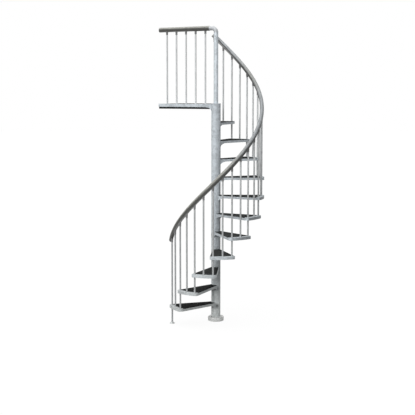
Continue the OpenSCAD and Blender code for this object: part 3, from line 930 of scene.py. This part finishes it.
class STAIR_OT_handrail(bpy.types.Operator):
    """Oval handrails: a tube about the helix of the nosings and one along the platform, with end caps"""
    bl_idname = "stair.handrail"
    bl_label = "Handrails"

    def execute(self, context):
        sizes = context.scene.stair_sizes
        angle = np.linspace(sizes.start_angle - sizes.rail_before,
                            nosing_angle(sizes, TREADS + 1) + sizes.rail_after, RAIL_RINGS)
        path = np.column_stack([polar(sizes.ring_radius, angle), rail_z(sizes, angle)])
        across = np.column_stack([polar(1.0, angle), np.zeros(RAIL_RINGS)])
        tangent = rail_tangent(sizes, angle)
        self.rail("spiral_rail", sizes, path, across, tangent, RAIL_NODES)
        self.caps("spiral_caps", [self.cap(sizes, path[0], across[0], -tangent[0]),
                                  self.cap(sizes, path[-1], -across[-1], tangent[-1])], "spiral_rail_caps")
        turn = platform_turn(sizes)
        ends = np.array([platform_rail_start(sizes), platform_end(sizes) - CAP_THICKNESS])
        path = np.column_stack([polar(ends, turn), np.full(2, PLATFORM_RAIL_LEVEL)])
        across = np.tile([-math.sin(turn), math.cos(turn), 0.0], (2, 1))
        tangent = np.tile([math.cos(turn), math.sin(turn), 0.0], (2, 1))
        self.rail("platform_rail", sizes, path, -across, tangent, ["platform_handrail"])
        self.caps("platform_cap", [self.cap(sizes, path[-1], across[-1], tangent[-1])], "platform_rail_cap")
        return {"FINISHED"}

    @staticmethod
    def rail(name, sizes, path, across, tangent, nodes):
        """A closed oval tube along a path, charted by its length and by its height from 0 to 1."""
        whole = np.pad(np.ones(len(path)), 1)
        path, across, tangent = held(path, across, tangent)
        grid = tube(path, across, np.cross(across, tangent), sizes.rail_width / 2 * whole, OVAL_SIDES,
                    sizes.rail_depth / 2 * whole)
        run = np.concatenate([[0.0], np.cumsum(np.linalg.norm(np.diff(path, axis=0), axis=1))])
        share = 0.5 + 0.5 * np.sin(np.linspace(0, -2 * math.pi, OVAL_SIDES, endpoint=False))
        chart = np.stack(np.broadcast_arrays(run[:, None], share[None, :]), axis=-1)
        made = piece(name, *joined([grid], closed=True), rail_finish("rail_plastic"), "handrail", chart)
        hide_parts(*nodes)

    @staticmethod
    def caps(name, grids, node):
        """Caps as one piece, in place of the node."""
        finish = coat_finish("cap_coat", colours().cap)
        made = piece(name, *joined(grids, closed=True), finish, "dark_fitting")
        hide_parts(node)

    @staticmethod
    def cap(sizes, place, across, heading):
        """Ovals that close a rail's end: a flat back, a short rim, a rounded edge and a crowned face."""
        edge = np.radians(np.linspace(0, CAP_EDGE_TURN, CAP_EDGE_STEPS))
        share = np.concatenate([[0.0, 1.0], 1 - CAP_TAPER * (1 - np.cos(edge)), [0.5, 0.0]])
        reach = np.concatenate([[0.0, 0.0], CAP_RIM + CAP_ROUNDING * np.sin(edge),
                                [CAP_THICKNESS - CAP_CROWN, CAP_THICKNESS]])
        path = place + reach[:, None] * heading
        across = np.tile(across, (len(path), 1))
        return tube(path, across, np.cross(across, heading), sizes.rail_width / 2 * share, OVAL_SIDES,
                    sizes.rail_depth / 2 * share)


class STAIR_OT_base(bpy.types.Operator):
    """Base cover and baluster foot turned from profiles, and the elbow as a tube round a quarter circle"""
    bl_idname = "stair.base"
    bl_label = "Base cover, foot and elbow"

    def execute(self, context):
        sizes = context.scene.stair_sizes
        self.cover()
        self.foot(sizes)
        self.elbow(sizes)
        return {"FINISHED"}

    @staticmethod
    def cover():
        """A round cover with a quarter-circle shoulder and a lip along the column."""
        low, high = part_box("base_cover")
        radius, height, bore = (high.x - low.x) / 2, high.z, COLUMN_RADIUS + COVER_GAP
        shoulder = bow((radius - COVER_SHOULDER, height - COVER_SHOULDER),
                       (COVER_SHOULDER, COVER_SHOULDER), 0, 90)
        profile = [(radius - COVER_CHAMFER, 0.0), (radius, COVER_CHAMFER), *shoulder,
                   (COLUMN_RADIUS + COVER_LIP, height), (bore, height - COVER_LIP_DROP), (bore, 0.0),
                   (radius - COVER_CHAMFER, 0.0)]
        made = piece("cover", *joined([turned(profile, (0, 0, 0), COVER_SIDES)], closed=True),
                     coat_finish("cover_coat", colours().cover), "base_cover")
        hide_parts("base_cover")

    @staticmethod
    def foot(sizes):
        """A flared foot: a thin round plate that a hollow quarter ellipse draws in to the baluster."""
        low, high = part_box("baluster_foot")
        wide, neck, collar = (high.x - low.x) / 2, sizes.tip_diameter / 2, high.z - FOOT_COLLAR
        rim = wide - FOOT_CHAMFER
        profile = [(0.0, 0.0), (rim, 0.0), (wide, FOOT_CHAMFER), (wide, FOOT_RIM),
                   *bow((rim, collar), (rim - neck, collar - FOOT_PLATE), 270, 180),
                   (neck - FOOT_CHAMFER, high.z), (0.0, high.z)]
        place = ((low.x + high.x) / 2, (low.y + high.y) / 2, 0.0)
        made = piece("foot", *joined([turned(profile, place, FOOT_SIDES)], closed=True),
                     zinc_finish("zinc_spangle", 1.0), "galvanised_steel")
        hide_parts("baluster_foot")

    @staticmethod
    def elbow(sizes):
        """A quarter bend from the pole into the platform's rail, with a slight rim at both ends."""
        turn, bend = platform_turn(sizes), sizes.elbow_radius
        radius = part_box("rail_elbow")[1].z - PLATFORM_RAIL_LEVEL
        straight = platform_rail_start(sizes) - bend
        angle = np.radians(np.linspace(0, 90, BEND_STEPS))
        lead = np.concatenate([angle, np.full(len(ELBOW_STRAIGHT), math.pi / 2)])
        out = np.concatenate([bend * (1 - np.cos(angle)), bend + straight * ELBOW_STRAIGHT])
        lift = PLATFORM_RAIL_LEVEL - bend + bend * np.sin(lead)
        path = np.column_stack([polar(out, turn), lift])
        heading = np.column_stack([polar(np.sin(lead), turn), np.cos(lead)])
        across = np.tile([math.sin(turn), -math.cos(turn), 0.0], (len(path), 1))
        girth = np.full(len(path), radius - ELBOW_RIM)
        girth[[0, 1, -2]] = radius
        girth[-1] = radius - ELBOW_CHAMFER
        path, across, heading = held(path, across, heading)
        grid = tube(path, across, np.cross(across, heading), np.pad(girth, 1), OVAL_SIDES)
        made = piece("elbow", *joined([grid], closed=True),
                     coat_finish("elbow_coat", colours().elbow), "rail_elbow")
        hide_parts("rail_elbow")


# Stage

PHOTO_SIDE = 415
FOCAL_PIXELS = 913.6
EYE = (-0.1092, -11.786, 2.9779)
TILT = 5.8
AIM_ROW = 185.3
SENSOR = 36.0
CLIP_END = 200.0
WORLD_LIGHT = 0.3
FLOOR_REACH, FLOOR_SIDES, FLOOR_LEVEL = 60.0, 96, -0.0005
FLOOR_GLOW, FLOOR_BOUNCE = 0.94, 0.25
FLOOR_DARK, FLOOR_PALE = (0.045, 0.045, 0.045), (0.055, 0.055, 0.055)
KEY = {"place": (-2.0, -2.6, 9.0), "strength": 3.4, "spread": 80.0}
FILL = {"place": (-4.4, -7.3, 3.0), "strength": 1.55, "spread": 40.0}


def sun(name, place, strength, spread):
    """A soft sun that shines from a place towards the origin."""
    data = bpy.data.lights.new(name, "SUN")
    data.energy, data.angle = strength, math.radians(spread)
    lamp = bpy.data.objects.new(name, data)
    lamp.location = place
    lamp.rotation_euler = (-Vector(place)).to_track_quat("-Z", "Y").to_euler()
    bpy.context.scene.collection.objects.link(lamp)


def seen_directly(tree):
    """1 for rays from the camera and for those that mirrors and glass send on, else 0."""
    paths = Socket.node(tree, "ShaderNodeLightPath", {}, {})
    camera, glossy, through = (Socket(tree, paths.outputs[name])
                               for name in ("Is Camera Ray", "Is Glossy Ray", "Is Transmission Ray"))
    return camera.largest(glossy).largest(through)


def pale_world():
    """World light at a plain level that the camera and mirrors see as white."""
    world = bpy.data.worlds.new("studio")
    bpy.context.scene.world = world
    world.use_nodes = True
    back = world.node_tree.nodes["Background"]
    give(back.inputs["Color"], (1.0, 1.0, 1.0))
    give(back.inputs["Strength"], WORLD_LIGHT + seen_directly(world.node_tree) * (1.0 - WORLD_LIGHT))


def pale_floor():
    """A wide disc: lit, matt and grey, but white to the camera, with the shadows and a soft bounce."""
    f = Finish("pale_floor")
    f.set(Base_Color=f.mix(f.noise(scale=30.0), FLOOR_DARK, FLOOR_PALE),
          Roughness=1.0, Specular_IOR_Level=0.0)
    glow = FLOOR_BOUNCE + seen_directly(f.tree) * (FLOOR_GLOW - FLOOR_BOUNCE)
    light = f.added("Emission", "ShaderNodeEmission", {"Strength": glow})
    both = f.added(0, "ShaderNodeAddShader", {0: Socket(f.tree, f.shader.outputs[0]), 1: light})
    give(f.tree.nodes["Material Output"].inputs["Surface"], both)
    turn = np.linspace(0, 2 * math.pi, FLOOR_SIDES, endpoint=False)
    ring = np.column_stack([polar(FLOOR_REACH, turn), np.full(FLOOR_SIDES, FLOOR_LEVEL)])
    mesh = bpy.data.meshes.new("floor")
    mesh.from_pydata(ring.tolist(), [], [list(range(FLOOR_SIDES))])
    mesh.materials.append(f.material)
    floor = bpy.data.objects.new("floor", mesh)
    bpy.context.scene.collection.objects.link(floor)


class STAIR_OT_stage(bpy.types.Operator):
    """Pale floor, soft light and a camera at the photograph's angle"""
    bl_idname = "stair.stage"
    bl_label = "Stage"

    def execute(self, context):
        scene = context.scene
        data = bpy.data.cameras.new("camera")
        data.sensor_width = SENSOR
        data.lens = FOCAL_PIXELS / PHOTO_SIDE * SENSOR
        data.shift_y = AIM_ROW / PHOTO_SIDE - 0.5
        data.clip_end = CLIP_END
        camera = bpy.data.objects.new("camera", data)
        camera.location = EYE
        camera.rotation_euler = (math.radians(90 - TILT), 0, 0)
        scene.collection.objects.link(camera)
        scene.camera = camera
        scene.view_settings.view_transform = "Standard"
        pale_world()
        pale_floor()
        sun("key", **KEY)
        sun("fill", **FILL)
        return {"FINISHED"}


class STAIR_PT_panel(bpy.types.Panel):
    """Lists the staircase's pieces"""
    bl_idname = "STAIR_PT_panel"
    bl_label = "Spiral staircase"
    bl_space_type = "VIEW_3D"
    bl_region_type = "UI"
    bl_category = "Staircase"

    def draw(self, context):
        for operator in OPERATORS:
            self.layout.operator(operator.bl_idname)


OPERATORS = (STAIR_OT_steelwork, STAIR_OT_welds, STAIR_OT_boards, STAIR_OT_platform, STAIR_OT_balusters,
             STAIR_OT_handrail, STAIR_OT_base, STAIR_OT_stage)
CLASSES = (StairSizes, StairFinish, *OPERATORS, STAIR_PT_panel)


def register():
    """Registers the classes and hangs the properties on the scene."""
    for made in CLASSES:
        bpy.utils.register_class(made)
    bpy.types.Scene.stair_sizes = bpy.props.PointerProperty(type=StairSizes)
    bpy.types.Scene.stair_finish = bpy.props.PointerProperty(type=StairFinish)


def unregister():
    """Takes the properties and the classes away again."""
    del bpy.types.Scene.stair_finish
    del bpy.types.Scene.stair_sizes
    for made in reversed(CLASSES):
        bpy.utils.unregister_class(made)


def main():
    """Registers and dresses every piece."""
    register()
    for operator in OPERATORS:
        group, name = operator.bl_idname.split(".")
        getattr(getattr(bpy.ops, group), name)()


if __name__ == "__main__":
    main()
